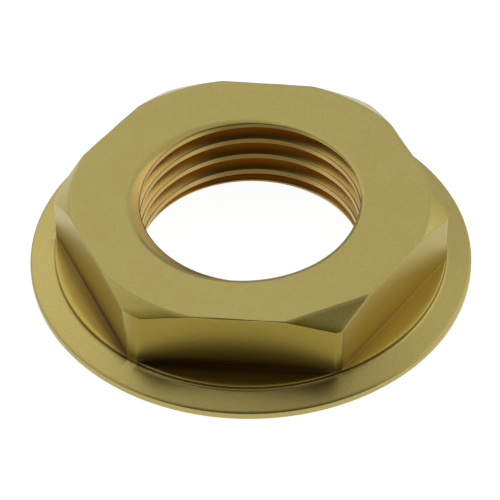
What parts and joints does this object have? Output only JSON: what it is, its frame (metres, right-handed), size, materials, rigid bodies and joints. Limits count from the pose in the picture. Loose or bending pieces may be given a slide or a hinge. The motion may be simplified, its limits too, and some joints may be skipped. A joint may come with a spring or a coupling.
{
  "type": "flanged hexagonal spud nut",
  "caption": "Brass spud nut: a flat hexagon turned in one piece with a wide round flange, threaded right through, that clamps a tail or spud to a panel.",
  "frame": {"origin": "centre of the flange's flat clamping face, which the nut lies on", "axes": "+Z along the thread's axis towards the hexagon's free face; -Y square to one of the flats"},
  "size_m": [0.038, 0.038, 0.0072],
  "materials": {
    "brass": "plain machined brass, dulled olive-yellow, with small dents and a ragged burr at one corner"
  },
  "bodies": {
    "root": {"spud_nut": "brass"}
  },
  "joints": []
}
